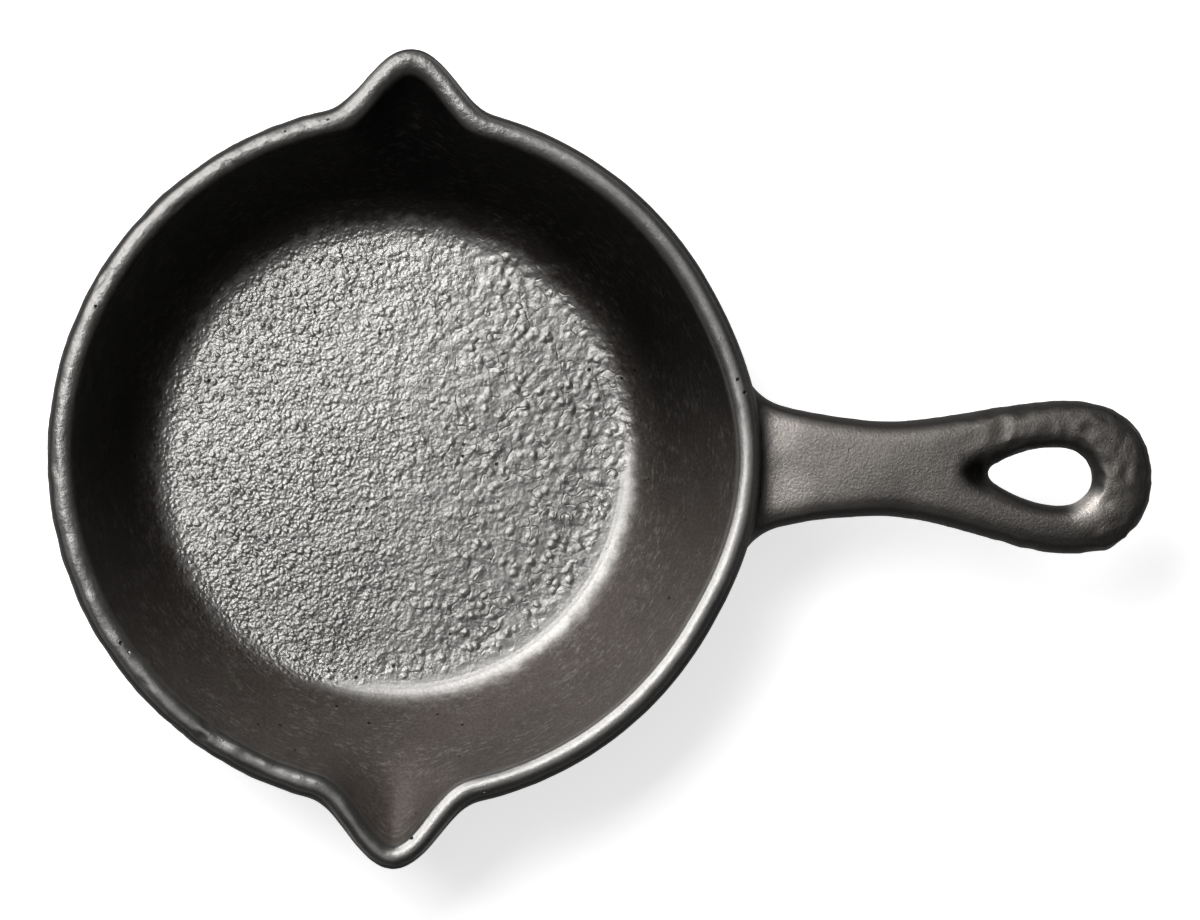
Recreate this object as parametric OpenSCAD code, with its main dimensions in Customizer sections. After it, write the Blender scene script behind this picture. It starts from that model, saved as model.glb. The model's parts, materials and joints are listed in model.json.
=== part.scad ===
// A small cast-iron skillet with two pour spouts and a short handle with a teardrop hang hole.
// The whole pan is one casting, so it is one solid. The bowl stands on Z = 0 with its axis on Z,
// the handle points along +X, and the spouts point along +Y and -Y.

/* [Bowl] */
// Diameter over the rim, between the spouts
rim_d = 133; // [118:1:200]
// Height of the rim above the base
bowl_h = 31; // [25:0.5:40]
// Diameter of the flat part of the cooking floor
floor_d = 84; // [70:1:94]
// Thickness of the cooking floor
floor_t = 4.5; // [3:0.5:7]
// Thickness of the wall
wall_t = 4; // [2.6:0.1:5]
// Radius of the wall's own curve, in section
wall_r = 70; // [50:5:150]
// Radius of the cove between the floor and the wall, inside
cove_r = 7; // [4:0.5:9]
// Radius of the turn between the underside and the wall, outside
heel_r = 7; // [4:0.5:10]

/* [Rim] */
// Width of the thickened rim, seen from above
bead_w = 5; // [4.6:0.1:7]
// Height of the thickened rim
bead_h = 5.5; // [5:0.1:8]
// Rounding of the rim's outer edge
bead_outer_r = 2.4; // [1:0.1:2.8]
// Rounding of the rim's inner edge
bead_inner_r = 1.2; // [0.6:0.1:1.5]

/* [Pour spouts] */
// How far each spout's nose stands out past the rim circle
spout_reach = 11; // [4:0.5:15]
// Half of the angle that a spout takes up on the rim, in degrees
spout_spread = 14.5; // [11:0.5:20]
// How far below the rim the spout's channel runs out
spout_depth = 17; // [10:1:20]

/* [Handle] */
// From the bowl's axis to the handle's end
handle_reach = 142; // [125:0.5:240]
// Width where the handle leaves the rim, without the root fillet
handle_root_w = 27; // [20:0.5:32]
// Width at the waist
handle_waist_w = 18.2; // [14:0.2:22]
// Width over the eye that holds the hang hole
handle_eye_w = 29.3; // [24:0.1:36]
// Thickness of the handle
handle_t = 7.6; // [6:0.2:9.2]
// Depth of the handle's top below the rim, at the root
handle_drop = 5.2; // [4:0.2:8]
// How much higher the handle ends than it starts
handle_rise = 6.5; // [0:0.5:12]
// Width of the rounding along the handle's edges
handle_edge = 4; // [2:0.2:6]
// Radius of the fillets above and beside the handle's root
root_fillet = 4.5; // [2:0.5:6]
// Radius of the fillet under the handle's root
under_fillet = 12; // [4:1:14]

/* [Hang hole] */
// Length of the hole along the handle
hole_l = 19.9; // [14:0.1:24]
// Width of the hole at its round end
hole_w = 10.9; // [6:0.1:13]
// Metal between the hole and the handle's end
hole_end_wall = 11.5; // [9:0.1:16]
// Rounding of the hole's edges
hole_round = 3.2; // [1:0.1:3.6]
// How much longer that rounding is at the pointed end, where it runs out as a groove
hole_groove = 2.2; // [1:0.1:3]

/* [Hidden] */
iron = [0.13, 0.12, 0.11];

rim_r = rim_d / 2;
floor_r = floor_d / 2;
clear = 2;            // how far a cutting tool runs past what it cuts
turn_steps = 4;       // facets over a rounded corner of the bowl's section
wall_steps = 7;       // facets up the wall, inside
round_facets = 120;   // facets of a full turn inside the wall

spout_steps = 14;     // facets over one spout
plain_steps = 24;     // facets of the rim between the spouts, on one side
spout_power = 2.4;    // 2 gives a blunt nose, more gives a narrower one
channel_share = 0.25; // lowest place that a spout's channel reaches, as a share of the cove's radius

waist_share = 0.33;   // place of the waist, as a share of the handle's length
end_share = 0.525;    // length of the handle's rounded end, as a share of the eye's width
end_power = 2.2;      // 2 makes the handle's end an ellipse, more squares it
edge_share = 0.96;    // the widest that an edge's rounding gets, as a share of half the width
root_inset = 0.4;     // how far inside the rim's side the root fillets start
least_land = 0.4;     // half of the least straight part of the hole's wall
hole_share = 0.54;    // length of the hole's round end, as a share of its width
tip_power = 0.65;     // 0.5 makes the hole's pointed end round, more sharpens it

handle_l = handle_reach - rim_r;
root_x = rim_r - root_inset;
waist_x = rim_r + waist_share * handle_l;
eye_x = handle_reach - handle_eye_w * end_share;
hole_end_x = handle_reach - hole_end_wall;
hole_tip_x = hole_end_x - hole_l;
hole_wide_x = hole_end_x - hole_w * hole_share;

// ---- small helpers ----

function lerp(a, b, u) = a + (b - a) * u;
function clamp01(u) = min(1, max(0, u));
function smooth(u) = let (v = clamp01(u)) v * v * (3 - 2 * v);
function heading(from, to) = atan2(to[1] - from[1], to[0] - from[0]);
function full_turn(a) = (a + 360) % 360;

// Points on an arc about c from angle a0 to a1, both ends included
function arc(c, r, a0, a1, steps) =
    [for (i = [0:steps]) let (a = lerp(a0, a1, i / steps)) c + r * [cos(a), sin(a)]];

// The left one of the two points that lie at r0 from p0 and at r1 from p1, going from p0 to p1
function meet(p0, r0, p1, r1) =
    let (
        span = p1 - p0,
        d = norm(span),
        along = (r0 * r0 - r1 * r1 + d * d) / (2 * d),
        across = sqrt(r0 * r0 - along * along)
    )
    p0 + along * span / d + across * [-span[1], span[0]] / d;

// A solid through rings of an equal, even number of points. Seen along the way from the first
// ring to the last, the points of each ring run clockwise. Each end is closed with a strip
// between the first half of its ring and the second half.
module loft(rings) {
    n = len(rings[0]);
    last = (len(rings) - 1) * n;
    polyhedron(
        points = [for (ring = rings) each ring],
        faces = concat(
            [for (i = [0:len(rings) - 2]) for (j = [0:n - 1])
                let (k = (j + 1) % n, a = i * n + j, b = i * n + k)
                    each [[a, a + n, b + n], [a, b + n, b]]],
            [for (j = [0:n / 2 - 2])
                let (k = n - 1 - j)
                    each [[j, j + 1, k - 1], [j, k - 1, k],
                        [last + j, last + k - 1, last + j + 1], [last + j, last + k, last + k - 1]]]
        )
    );
}

// ---- section of the bowl, as [radius, height] ----

lip_c = [rim_r - bead_w + bead_inner_r, bowl_h - bead_inner_r];
cove_c = [floor_r, floor_t + cove_r];
// The wall's curve is tangent to the cove below it and to the lip above it
wall_c = meet(cove_c, wall_r - cove_r, lip_c, wall_r + bead_inner_r);

skin_r = wall_r + wall_t;
heel_c = [
    wall_c[0] + sqrt(pow(skin_r - heel_r, 2) - pow(wall_c[1] - heel_r, 2)),
    heel_r
];
bead_low_z = bowl_h - bead_h;
bead_low_a = asin((bead_low_z - wall_c[1]) / skin_r);
bead_step = rim_r - wall_c[0] - skin_r * cos(bead_low_a);

// From the edge of the flat underside, up over the rim and down to the edge of the floor
bowl_section = concat(
    arc(heel_c, heel_r, -90, heading(wall_c, heel_c), turn_steps),
    [for (i = [1:turn_steps]) let (a = lerp(heading(wall_c, heel_c), bead_low_a, i / turn_steps))
        wall_c + skin_r * [cos(a), sin(a)]],
    arc([rim_r - bead_step, bead_low_z + bead_step], bead_step, -45, 0, 1),
    arc([rim_r - bead_outer_r, bowl_h - bead_outer_r], bead_outer_r, 0, 90, turn_steps),
    arc(lip_c, bead_inner_r, 90, full_turn(heading(lip_c, wall_c)), turn_steps),
    [for (i = [1:wall_steps - 1])
        let (a = lerp(heading(wall_c, lip_c), heading(wall_c, cove_c), i / wall_steps))
        wall_c + wall_r * [cos(a), sin(a)]],
    arc(cove_c, cove_r, heading(wall_c, cove_c), -90, turn_steps)
);

// ---- pour spouts: a warp of the round bowl ----

// How far the rim is pushed out at angle off from a spout's middle, and how fast that changes,
// for each radian
function push(off) =
    abs(off) < spout_spread ? spout_reach * pow(cos(90 * off / spout_spread), spout_power) : 0;
function push_rate(off) = let (da = 0.1) (push(off + da) - push(off - da)) / (2 * da) * 180 / PI;

// Share of the push at height z: all of it at the rim, none where the channel runs out
channel_low_z = max(bowl_h - spout_depth, floor_t + cove_r * channel_share);
function push_share(z) = smooth((z - channel_low_z) / (bowl_h - channel_low_z));

// The point [r, z] of the bowl's section, at angle a. Depth into the wall is taken halfway
// between square to the rim line and towards the axis, so that the rim keeps its width on the
// spouts' flanks.
function bowl_point(a, r, z) =
    let (
        off = a % 180 - 90,
        share = push_share(z),
        square = [rim_r + push(off) * share, -push_rate(off) * share],
        inward = square / norm(square) + [1, 0],
        p = [square[0], 0] - (rim_r - r) * inward / norm(inward)
    )
    [p[0] * cos(a) - p[1] * sin(a), p[0] * sin(a) + p[1] * cos(a), z];

// Angles of the bowl's facets: close together over the spouts at 90 and 270 degrees
plain_spread = 180 - 2 * spout_spread;
bowl_angles = [for (middle = [90, 270]) each concat(
    [for (i = [0:spout_steps - 1]) middle + spout_spread * (2 * i / spout_steps - 1)],
    [for (i = [0:plain_steps - 1]) middle + spout_spread + plain_spread * i / plain_steps]
)];

// ---- bowl ----

module bowl() {
    loft([for (p = bowl_section) [for (a = bowl_angles) bowl_point(a, p[0], p[1])]]);
}

// ---- handle ----

// Rise of a fillet of radius r at distance d from the face that it runs up
function fillet_rise(r, d) = let (e = r * (1 - clamp01(d / r))) r - sqrt(r * r - e * e);

// Half of the width at x, without the root fillet
function handle_half_w(x) =
    x < waist_x
        ? lerp(handle_waist_w, handle_root_w, pow((waist_x - max(x, rim_r)) / (waist_x - rim_r), 2)) / 2
    : x < eye_x
        ? lerp(handle_waist_w, handle_eye_w, smooth((x - waist_x) / (eye_x - waist_x))) / 2
    : handle_eye_w / 2
        * pow(1 - pow((x - eye_x) / (handle_reach - eye_x), end_power), 1 / end_power);

// Height of the handle's middle plane: it leaves the bowl rising and levels out
function handle_mid_z(x) =
    let (u = clamp01((x - rim_r) / handle_l))
    bowl_h - handle_drop - handle_t / 2 + handle_rise * (1 - (1 - u) * (1 - u));

// Half of the thickness, rounded off towards the handle's end
function handle_half_t(x) =
    let (u = clamp01((x - handle_reach + handle_edge) / handle_edge))
    handle_t / 2 * sqrt(1 - u * u);

// The fillet under the root touches the bar's underside and the wall's sloping outside
under_z = handle_mid_z(rim_r) - handle_t / 2 - under_fillet;
under_x = wall_c[0] + sqrt(pow(skin_r + under_fillet, 2) - pow(under_z - wall_c[1], 2));
under_end_x = lerp(under_x, wall_c[0], under_fillet / (skin_r + under_fillet));
function under_drop(x) =
    let (d = max(0, under_x - max(x, under_end_x)))
    under_fillet - sqrt(under_fillet * under_fillet - d * d);

// One ring of the handle: a flat bar with round edges. Near the bowl it bends round the rim,
// and its sides run out in fillets.
function handle_ring(x) =
    let (
        top_fillet = min(root_fillet, handle_drop - bead_outer_r / 2),
        flare = fillet_rise(root_fillet, x - root_x),
        half_w = handle_half_w(x) + flare,
        over = handle_half_t(x) + fillet_rise(top_fillet, x - root_x),
        under = handle_half_t(x) + under_drop(x),
        widest = half_w * edge_share,
        edge = min(handle_edge + flare, widest),
        under_edge = min(handle_edge + flare + under_drop(x), widest),
        bend = 1 - smooth((x - rim_r) / (waist_x - rim_r)),
        edge_steps = 6
    )
    [for (side = [1, -1]) for (i = [0:edge_steps])
        let (
            a = side * (90 - 180 * i / edge_steps),
            inset = (a > 0 ? edge : under_edge) * (1 - cos(a)),
            y = -side * (half_w - inset),
            z = sin(a) * (a > 0 ? over : under)
        )
        [x + bend * (sqrt(rim_r * rim_r - y * y) - rim_r), y, handle_mid_z(x) + z]];

module handle_bar() {
    start_x = under_end_x - 2 * wall_t;
    under_steps = 6;
    root_steps = 4;
    root_power = 1.5;     // sets the rings closer together where the fillets are steepest
    shank_steps = 8;
    end_steps = 7;
    end_turn = 87;
    loft(concat(
        [for (i = [0:under_steps - 1])
            handle_ring(lerp(start_x, root_x, i / under_steps))],
        [for (i = [0:root_steps - 1])
            handle_ring(root_x + root_fillet * pow(i / root_steps, root_power))],
        [for (i = [0:shank_steps - 1])
            handle_ring(lerp(root_x + root_fillet, eye_x, i / shank_steps))],
        [for (i = [0:end_steps])
            handle_ring(lerp(eye_x, handle_reach, sin(end_turn * i / end_steps)))]
    ));
}

// Outline of the hang hole at angle a, made larger all round by grow
function hole_point(a, grow) =
    let (
        tip = hole_wide_x - hole_tip_x + grow * hole_groove,
        end = hole_end_x - hole_wide_x + grow,
        half_w = hole_w / 2 + grow,
        x = hole_wide_x + (cos(a) < 0 ? tip : end) * cos(a),
        u = 1 - abs(cos(a)),
        y = cos(a) < 0 ? half_w * pow(sin(90 * u), tip_power) : half_w * abs(sin(a))
    )
    [x, y * (sin(a) < 0 ? -1 : 1)];

// The tool that cuts the hole: straight at mid-thickness, then rounded out above and below
module hang_hole() {
    outline_steps = 32;
    edge_steps = 3;
    steep = 68;
    land = max(least_land, handle_t / 2 - hole_round);
    half = concat(
        [for (i = [0:edge_steps]) let (a = steep * i / edge_steps)
            [land + hole_round * sin(a), hole_round * (1 - cos(a))]],
        [[handle_t / 2 + clear, hole_round]]
    );
    n = len(half) - 1;
    levels = concat([for (i = [n:-1:0]) [-half[i][0], half[i][1]]], half);
    loft([for (level = levels) [for (i = [0:outline_steps - 1])
        let (p = hole_point(360 * i / outline_steps, level[1]))
            [p[0], p[1], handle_mid_z(p[0]) + level[0]]]]);
}

// All that lies inside the middle of the wall's thickness, where the handle has to stop
module wall_core() {
    steps = 6;
    middle = arc(wall_c, wall_r + wall_t / 2, heading(wall_c, heel_c), heading(wall_c, lip_c), steps);
    rotate_extrude($fn = round_facets)
        polygon(concat([[0, 0], [middle[0][0], 0]], middle,
            [[middle[steps][0], bowl_h + clear], [0, bowl_h + clear]]));
}

module handle() {
    difference() {
        handle_bar();
        hang_hole();
        wall_core();
    }
}

module pan() {
    color(iron) {
        bowl();
        handle();
    }
}

pan();
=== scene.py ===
"""A small cast-iron skillet with two pour spouts and a hang hole, worn and rough from use.

Lengths are in metres. The bowl stands on Z = 0 with its axis on Z, and the handle points along +X.
"""

import json
import math

import bmesh
import bpy
import numpy as np
from mathutils import Matrix, Vector, noise

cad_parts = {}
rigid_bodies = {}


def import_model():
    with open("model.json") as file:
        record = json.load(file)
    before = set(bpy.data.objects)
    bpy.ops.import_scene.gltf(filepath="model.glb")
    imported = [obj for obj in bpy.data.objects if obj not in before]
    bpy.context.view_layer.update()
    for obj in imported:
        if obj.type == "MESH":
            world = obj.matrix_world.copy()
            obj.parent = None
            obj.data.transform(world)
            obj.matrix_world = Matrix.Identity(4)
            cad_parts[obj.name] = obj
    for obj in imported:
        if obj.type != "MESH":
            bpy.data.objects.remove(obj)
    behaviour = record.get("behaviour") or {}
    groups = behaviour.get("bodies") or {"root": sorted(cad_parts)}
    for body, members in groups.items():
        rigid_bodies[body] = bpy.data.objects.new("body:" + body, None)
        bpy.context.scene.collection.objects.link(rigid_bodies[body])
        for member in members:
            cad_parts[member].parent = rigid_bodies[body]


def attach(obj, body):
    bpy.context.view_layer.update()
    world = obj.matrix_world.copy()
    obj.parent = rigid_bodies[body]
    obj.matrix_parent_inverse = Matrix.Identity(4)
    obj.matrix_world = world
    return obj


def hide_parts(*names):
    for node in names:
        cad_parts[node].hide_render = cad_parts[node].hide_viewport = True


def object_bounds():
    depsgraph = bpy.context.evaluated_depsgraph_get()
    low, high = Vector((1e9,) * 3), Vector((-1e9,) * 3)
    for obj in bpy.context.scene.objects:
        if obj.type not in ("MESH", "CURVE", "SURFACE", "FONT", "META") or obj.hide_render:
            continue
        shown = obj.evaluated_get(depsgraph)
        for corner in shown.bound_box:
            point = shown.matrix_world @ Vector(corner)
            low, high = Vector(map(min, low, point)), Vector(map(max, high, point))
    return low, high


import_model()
CAD_LOW, CAD_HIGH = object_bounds()

bl_info = {
    "name": "Cast-Iron Skillet",
    "version": (1, 0, 0),
    "blender": (4, 5, 0),
    "location": "View3D > Sidebar > Skillet",
    "description": "Models a small cast-iron skillet with its worn, rough finish",
    "category": "Object",
}

MM = 0.001
MERGE_GAP = 0.01 * MM    # points closer than this are one point
PAN = "iron_pan"
BOWL = "bowl_casting"
HANDLE = "handle_casting"


# ---- sizes and colours that a user would change ----

def length(name, description, default):
    """A length in metres, shown in the scene's unit."""
    return bpy.props.FloatProperty(
        name=name, description=description, default=default, min=0.0, unit="LENGTH")


def colour(name, description, default):
    """A linear colour."""
    return bpy.props.FloatVectorProperty(
        name=name, description=description, default=default, size=3, min=0.0, max=1.0, subtype="COLOR")


class SkilletSizes(bpy.types.PropertyGroup):
    """Sizes of the casting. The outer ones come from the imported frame."""

    rim_r: length("Rim radius", "Radius over the rim, between the spouts", -CAD_LOW.x)
    bowl_h: length("Bowl height", "Height of the rim above the base", 31 * MM)
    floor_r: length("Floor radius", "Radius of the flat part of the cooking floor", 42 * MM)
    floor_t: length("Floor thickness", "Thickness of the cooking floor", 4.5 * MM)
    wall_t: length("Wall thickness", "Thickness of the wall", 4 * MM)
    wall_r: length("Wall curve", "Radius of the wall's curve, in section", 70 * MM)
    cove_r: length("Cove", "Radius between the floor and the wall, inside", 7 * MM)
    heel_r: length("Heel", "Radius between the underside and the wall, outside", 7 * MM)
    bead_w: length("Rim width", "Width of the thickened rim", 5 * MM)
    bead_h: length("Rim depth", "Height of the thickened rim", 5.5 * MM)
    bead_outer_r: length("Rim outer edge", "Rounding of the rim's outer edge", 2.4 * MM)
    bead_inner_r: length("Rim inner edge", "Rounding of the rim's inner edge", 1.2 * MM)
    crown_r: length("Rim crown", "Radius of the rim's crown, between its rounded edges", 3.4 * MM)
    spout_reach: length("Spout reach", "How far a spout stands out past the rim", 11 * MM)
    spout_depth: length("Spout depth", "How far below the rim a spout runs out", 17 * MM)
    spout_spread: bpy.props.FloatProperty(
        name="Spout spread", description="Half of the angle that a spout takes up on the rim",
        default=math.radians(14.5), subtype="ANGLE", unit="ROTATION")
    handle_reach: length("Handle reach", "From the bowl's axis to the handle's end", CAD_HIGH.x)
    handle_root_w: length("Root width", "Width where the handle leaves the rim", 27 * MM)
    handle_waist_w: length("Waist width", "Width at the handle's waist", 18.2 * MM)
    handle_eye_w: length("Eye width", "Width over the eye that holds the hang hole", 29.3 * MM)
    handle_t: length("Handle thickness", "Thickness of the handle", 7.6 * MM)
    handle_drop: length("Handle drop", "Depth of the handle's top below the rim, at the root", 5.2 * MM)
    handle_rise: length("Handle rise", "How much higher the handle ends than it starts", 6.5 * MM)
    handle_edge: length("Handle edges", "Width of the rounding along the handle's edges", 4 * MM)
    handle_skew: length("Eye skew", "How far the eye stands off the handle's line", 0.8 * MM)
    root_fillet: length("Root fillet", "Radius of the fillets beside the handle's root", 6 * MM)
    under_fillet: length("Under fillet", "Radius of the fillet under the handle's root", 12 * MM)
    hole_l: length("Hole length", "Length of the hang hole", 19.9 * MM)
    hole_w: length("Hole width", "Width of the hang hole at its round end", 10.9 * MM)
    hole_end_wall: length("Hole end wall", "Metal between the hole and the handle's end", 11.5 * MM)
    hole_round: length("Hole rounding", "Rounding of the hole's edges", 3.2 * MM)
    grain_depth: length("Grain depth", "Depth of the rough floor's grain", 0.10 * MM)


class SkilletColours(bpy.types.PropertyGroup):
    """Colours of the iron and of the studio floor."""

    bare_iron: colour("Worn iron", "Rubbed iron of the floor and the rim", (0.32, 0.313, 0.302))
    seasoning: colour("Seasoning", "Baked black skin of the walls", (0.098, 0.083, 0.073))
    handle_iron: colour("Handle iron", "Handled iron, between worn and black", (0.152, 0.141, 0.131))
    studio: colour("Studio floor", "Pale paper that the skillet stands on", (0.90, 0.90, 0.90))


# ---- small helpers ----

def lerp(a, b, u):
    return a + (b - a) * u


def smooth(u):
    v = np.clip(u, 0.0, 1.0)
    return v * v * (3 - 2 * v)


def heading(start, end):
    return math.atan2(end[1] - start[1], end[0] - start[0])


def arc(centre, radius, a0, a1, steps):
    """Points on an arc from angle a0 to a1, both ends included."""
    angles = [lerp(a0, a1, i / steps) for i in range(steps + 1)]
    return [(centre[0] + radius * math.cos(a), centre[1] + radius * math.sin(a)) for a in angles]


def to_object_mode():
    if bpy.context.object and bpy.context.object.mode != "OBJECT":
        bpy.ops.object.mode_set(mode="OBJECT")


def select_only(*objects):
    """Leaves just these objects selected, the first of them active."""
    to_object_mode()
    bpy.ops.object.select_all(action="DESELECT")
    for item in objects:
        item.select_set(True)
    bpy.context.view_layer.objects.active = objects[0]


def named(name):
    """The active object, under this name."""
    made = bpy.context.object
    made.name = name
    made.data.name = name
    return made


def points_of(piece):
    """The mesh's vertices as an array of rows."""
    co = np.empty(len(piece.data.vertices) * 3)
    piece.data.vertices.foreach_get("co", co)
    return co.reshape(-1, 3)


def set_points(piece, co):
    piece.data.vertices.foreach_set("co", np.asarray(co, float).ravel())
    piece.data.update()


def normals_of(piece):
    """The vertices' normals as an array of rows."""
    no = np.empty(len(piece.data.vertices) * 3)
    piece.data.vertex_normals.foreach_get("vector", no)
    return no.reshape(-1, 3)


def edit_all(piece):
    """Opens the piece in edit mode, with all of it selected."""
    select_only(piece)
    bpy.ops.object.mode_set(mode="EDIT")
    bpy.ops.mesh.select_all(action="SELECT")


def select_where(piece, kind, test):
    """Selects, in edit mode, the faces or edges that pass the test, and nothing else."""
    select_only(piece)
    bpy.ops.object.mode_set(mode="EDIT")
    bpy.ops.mesh.select_mode(type=kind)
    bpy.ops.mesh.select_all(action="DESELECT")
    mesh = bmesh.from_edit_mesh(piece.data)
    for item in mesh.faces if kind == "FACE" else mesh.edges:
        item.select_set(bool(test(item)))
    mesh.select_flush_mode()
    bmesh.update_edit_mesh(piece.data)


def select_edges(piece, test):
    select_where(piece, "EDGE", test)


def select_faces(piece, test):
    """Selects the faces whose centre and normal pass the test."""
    select_where(piece, "FACE", lambda face: test(face.calc_center_median(), face.normal))


def merge_outward(gap):
    """Merges points closer than this gap, turns all faces outwards and leaves edit mode."""
    bpy.ops.mesh.select_all(action="SELECT")
    bpy.ops.mesh.remove_doubles(threshold=gap)
    bpy.ops.mesh.normals_make_consistent(inside=False)
    to_object_mode()


def apply_modifier(piece, kind, **settings):
    """Adds a modifier, sets it and applies it."""
    select_only(piece)
    modifier = piece.modifiers.new(kind.lower(), kind)
    for key, value in settings.items():
        setattr(modifier, key, value)
    bpy.ops.object.modifier_apply(modifier=modifier.name)


def outline_object(name, outline):
    """A closed outline of [radius, height] points in the XZ plane, from a circle primitive."""
    bpy.ops.object.select_all(action="DESELECT")
    bpy.ops.mesh.primitive_circle_add(vertices=len(outline), radius=1, fill_type="NOTHING")
    made = named(name)
    set_points(made, [(r, 0, z) for r, z in outline])
    return made


# ---- the bowl's section, as [radius, height] ----

CROWN_TURN = math.radians(33)   # how far the crown turns down before the rim's inner edge


class Section:
    """The arcs of the bowl's section, tangent to each other."""

    def __init__(self, s):
        self.crest_c = (s.rim_r - s.bead_outer_r, s.bowl_h - s.bead_outer_r)
        self.crown_c = (self.crest_c[0], s.bowl_h - s.crown_r)
        self.crown_end = math.pi / 2 + CROWN_TURN
        within = s.crown_r - s.bead_inner_r
        self.lip_c = (self.crown_c[0] + within * math.cos(self.crown_end),
                      self.crown_c[1] + within * math.sin(self.crown_end))
        self.cove_c = (s.floor_r, s.floor_t + s.cove_r)
        self.wall_c = self.meet(self.cove_c, s.wall_r - s.cove_r, self.lip_c, s.wall_r + s.bead_inner_r)
        self.skin_r = s.wall_r + s.wall_t
        reach = (self.skin_r - s.heel_r) ** 2 - (self.wall_c[1] - s.heel_r) ** 2
        self.heel_c = (self.wall_c[0] + math.sqrt(reach), s.heel_r)
        self.cove_a = heading(self.wall_c, self.cove_c)
        self.lip_a = heading(self.wall_c, self.lip_c)
        self.heel_a = heading(self.wall_c, self.heel_c)
        self.bead_low_z = s.bowl_h - s.bead_h
        self.bead_low_a = math.asin((self.bead_low_z - self.wall_c[1]) / self.skin_r)
        self.bead_step = s.rim_r - self.wall_c[0] - self.skin_r * math.cos(self.bead_low_a)

    @staticmethod
    def meet(p0, r0, p1, r1):
        """The left one of the points at r0 from p0 and at r1 from p1, going from p0 to p1."""
        dx, dz = p1[0] - p0[0], p1[1] - p0[1]
        d = math.hypot(dx, dz)
        along = (r0 * r0 - r1 * r1 + d * d) / (2 * d)
        across = math.sqrt(r0 * r0 - along * along)
        return (p0[0] + (along * dx - across * dz) / d, p0[1] + (along * dz + across * dx) / d)

    def outline(self, s):
        """From the edge of the underside, up over the rim and down to the edge of the floor."""
        bead_c = (s.rim_r - self.bead_step, self.bead_low_z + self.bead_step)
        lip_end = heading(self.lip_c, self.wall_c) % (2 * math.pi)
        return (
            arc(self.heel_c, s.heel_r, -math.pi / 2, self.heel_a, 5)
            + arc(self.wall_c, self.skin_r, self.heel_a, self.bead_low_a, 10)[1:]
            + arc(bead_c, self.bead_step, -math.pi / 4, 0, 2)
            + arc(self.crest_c, s.bead_outer_r, 0, math.pi / 2, 6)
            + arc(self.crown_c, s.crown_r, math.pi / 2, self.crown_end, 3)[1:]
            + arc(self.lip_c, s.bead_inner_r, self.crown_end, lip_end, 4)[1:]
            + arc(self.wall_c, s.wall_r, self.lip_a, self.cove_a, 18)[1:-1]
            + arc(self.cove_c, s.cove_r, self.cove_a, -math.pi / 2, 6)
        )


# ---- pour spouts: a warp of the round bowl ----

SPOUT_POWER = 2.4      # 2 gives a blunt nose, more gives a narrower one
SPOUT_CROWDING = 0.62  # spacing of the rim's columns over a spout, as a share of even spacing
SPOUT_UNLIKE = 0.04    # how much further the -Y spout stands out than the +Y one, as a share, halved
ROOT_SPREAD = math.radians(24)   # half of the angle over which the handle's root changes the rim
ROOT_LEAN = 1.5 * MM             # how far the rim leans out over the root
ROOT_LEAN_H = 11 * MM            # how far down the wall that reaches


def push(s, off):
    """How far the rim is pushed out at angle off from a spout's middle."""
    inside = np.abs(off) < s.spout_spread
    bump = np.cos(np.clip(off / s.spout_spread, -1, 1) * math.pi / 2)
    return np.where(inside, s.spout_reach * np.maximum(bump, 0.0) ** SPOUT_POWER, 0.0)


def warp_spouts(s, co):
    """The round bowl's points, moved out to form the two pour spouts."""
    a = np.arctan2(co[:, 1], co[:, 0])
    r = np.hypot(co[:, 0], co[:, 1])
    z = co[:, 2]
    off = (a % math.pi) - math.pi / 2
    middle = a - off
    low_z = max(s.bowl_h - s.spout_depth, s.floor_t + s.cove_r / 4)
    share = smooth((z - low_z) / (s.bowl_h - low_z))
    # The columns draw together over the spouts, the more so the higher up the wall they are
    u = np.abs(off) / (math.pi / 2)
    crowded = off * (SPOUT_CROWDING + (1 - SPOUT_CROWDING) * u)
    off = lerp(off, crowded, smooth((z - s.floor_t) / (s.bowl_h - s.floor_t)))
    a = middle + off
    share = share * np.where(middle > 0, 1 - SPOUT_UNLIKE, 1 + SPOUT_UNLIKE)
    da = 0.001
    rate = (push(s, off + da) - push(s, off - da)) / (2 * da)
    square = np.stack([s.rim_r + push(s, off) * share, -rate * share], axis=1)
    inward = square / np.linalg.norm(square, axis=1)[:, None] + np.array([1.0, 0.0])
    inward /= np.linalg.norm(inward, axis=1)[:, None]
    p = np.stack([square[:, 0], np.zeros(len(a))], axis=1) - (s.rim_r - r)[:, None] * inward
    x = p[:, 0] * np.cos(a) - p[:, 1] * np.sin(a)
    y = p[:, 0] * np.sin(a) + p[:, 1] * np.cos(a)
    return np.stack([x, y, z], axis=1)


def lean_root(s, co):
    """The rim leans out over the handle's root."""
    a = np.abs(np.arctan2(co[:, 1], co[:, 0]))
    r = np.hypot(co[:, 0], co[:, 1])
    low_z = s.bowl_h - ROOT_LEAN_H
    lean = ROOT_LEAN * smooth(1 - a / ROOT_SPREAD) * smooth((co[:, 2] - low_z) / (s.bowl_h - low_z))
    scale = 1 + lean / np.maximum(r, s.floor_r)
    return np.stack([co[:, 0] * scale, co[:, 1] * scale, co[:, 2]], axis=1)


# ---- relief of the casting ----

RUBBED_A = math.radians(-52)    # where round the bowl the cove is rubbed smooth
FLOOR_RISE = 0.28 * MM          # how much the floor turns up there, before the cove
NICK_FROM = 0.52                # how strong the noise is where a nick in the rim starts
NICK_DEPTH = 1.2 * MM           # depth of a nick where the noise is at its strongest, and 1 past its start


def ripple(p, size, seed=0.0):
    """Smooth noise from -1 to 1 whose waves are about this size."""
    return noise.noise((p + Vector((seed, seed * 1.7, seed * 0.6)) * MM * 31) / size)


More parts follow.
